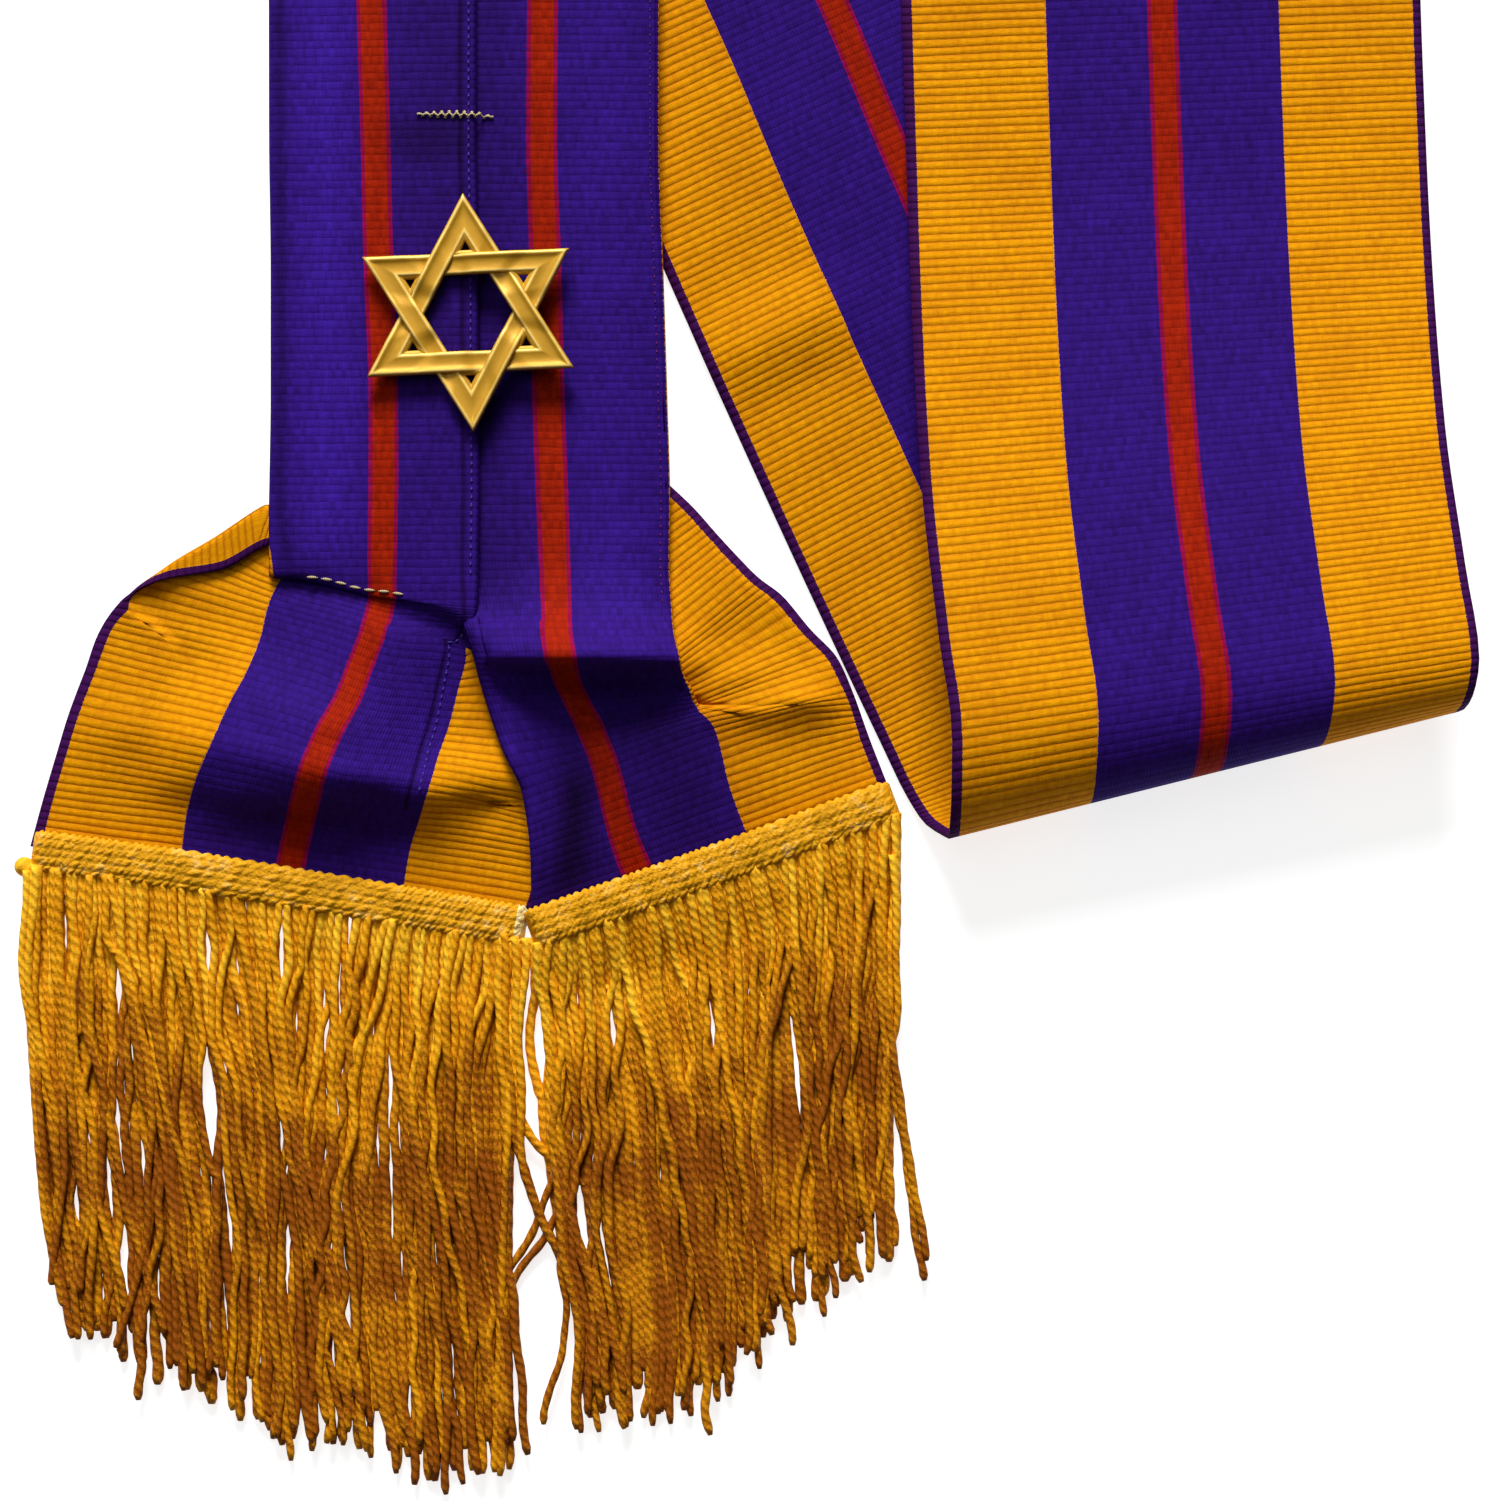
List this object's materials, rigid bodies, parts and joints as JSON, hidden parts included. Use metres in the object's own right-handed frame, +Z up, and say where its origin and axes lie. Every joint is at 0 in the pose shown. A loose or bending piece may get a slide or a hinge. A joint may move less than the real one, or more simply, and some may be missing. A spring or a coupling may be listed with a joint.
{
  "type": "ceremonial sash",
  "caption": "Ceremonial sash of striped grosgrain ribbon lying flat: a loop with two lapped, fringed ends and a cast six-pointed star pinned to the strip",
  "frame": {"origin": "middle of the whole sash in plan, on the surface that it lies on", "axes": "+Z up from the surface, +Y from the fringes up the strip to the far end of the loop, +X to the right as seen from above"},
  "size_m": [0.28, 0.8572, 0.022],
  "materials": {
    "grosgrain": "ribbed grosgrain, purple with gold borders and a red middle stripe",
    "gold_cord": "twisted gold rayon cord",
    "gilt_metal": "gilt cast brass, worn satin"
  },
  "bodies": {
    "root": {"ribbon": "grosgrain", "left_fringe": "gold_cord", "right_fringe": "gold_cord", "star_ornament": "gilt_metal"}
  },
  "joints": []
}
